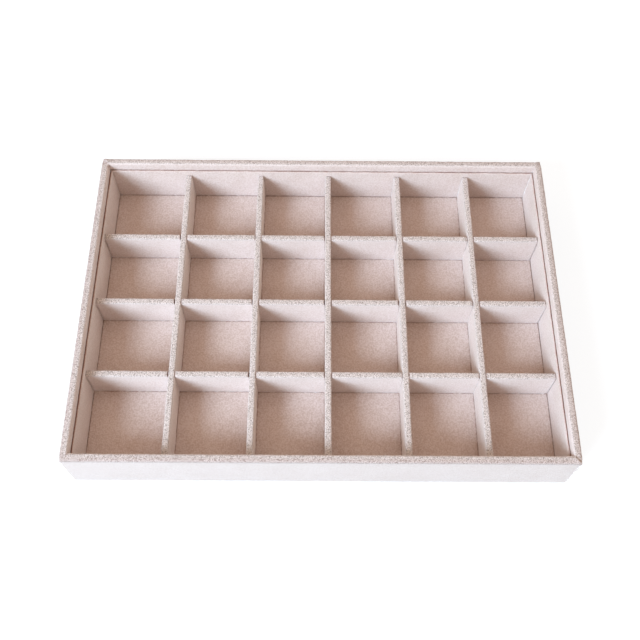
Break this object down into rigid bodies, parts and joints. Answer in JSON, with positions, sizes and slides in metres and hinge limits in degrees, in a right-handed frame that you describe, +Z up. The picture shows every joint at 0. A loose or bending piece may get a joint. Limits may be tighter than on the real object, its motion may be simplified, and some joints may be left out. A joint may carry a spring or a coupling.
{
  "type": "jewelry tray",
  "caption": "Shallow velvet-covered jewelry tray with a mitred frame, liner strips, floor pad and a lift-out grid of half-lapped dividers that makes open compartments",
  "frame": {"origin": "middle of the underside, on the surface that the tray stands on", "axes": "+X runs along the tray's length to the right, +Y to the back, +Z up"},
  "size_m": [0.35, 0.25, 0.045],
  "materials": {
    "velvet": "short-pile blush velvet, matt with a soft sheen",
    "mdf": "raw fibreboard",
    "greyboard": "raw grey card",
    "felt": "thin flat cloth"
  },
  "bodies": {
    "tray": {"front_wall": "mdf", "right_wall": "mdf", "back_wall": "mdf", "left_wall": "mdf", "base_board": "mdf", "outer_wrap": "velvet", "underside_cloth": "felt", "liner_card_front": "greyboard", "liner_velvet_front": "velvet", "liner_card_right": "greyboard", "liner_velvet_right": "velvet", "liner_card_back": "greyboard", "liner_velvet_back": "velvet", "liner_card_left": "greyboard", "liner_velvet_left": "velvet", "floor_card": "greyboard", "floor_velvet": "velvet"},
    "divider_grid": {"long_divider_1_board": "greyboard", "long_divider_1_velvet": "velvet", "long_divider_2_board": "greyboard", "long_divider_2_velvet": "velvet", "long_divider_3_board": "greyboard", "long_divider_3_velvet": "velvet"},
    "cross_divider_1": {"cross_divider_1_board": "greyboard", "cross_divider_1_velvet": "velvet"},
    "cross_divider_2": {"cross_divider_2_board": "greyboard", "cross_divider_2_velvet": "velvet"},
    "cross_divider_3": {"cross_divider_3_board": "greyboard", "cross_divider_3_velvet": "velvet"},
    "cross_divider_4": {"cross_divider_4_board": "greyboard", "cross_divider_4_velvet": "velvet"},
    "cross_divider_5": {"cross_divider_5_board": "greyboard", "cross_divider_5_velvet": "velvet"}
  },
  "joints": [
    {"name": "grid_lift", "type": "slide", "parent": "tray", "child": "divider_grid", "axis": [0, 0, 1], "range_m": [0, 0.045]},
    {"name": "cross_1_lift", "type": "slide", "parent": "divider_grid", "child": "cross_divider_1", "axis": [0, 0, 1], "range_m": [0, 0.045]},
    {"name": "cross_2_lift", "type": "slide", "parent": "divider_grid", "child": "cross_divider_2", "axis": [0, 0, 1], "range_m": [0, 0.045]},
    {"name": "cross_3_lift", "type": "slide", "parent": "divider_grid", "child": "cross_divider_3", "axis": [0, 0, 1], "range_m": [0, 0.045]},
    {"name": "cross_4_lift", "type": "slide", "parent": "divider_grid", "child": "cross_divider_4", "axis": [0, 0, 1], "range_m": [0, 0.045]},
    {"name": "cross_5_lift", "type": "slide", "parent": "divider_grid", "child": "cross_divider_5", "axis": [0, 0, 1], "range_m": [0, 0.045]}
  ]
}
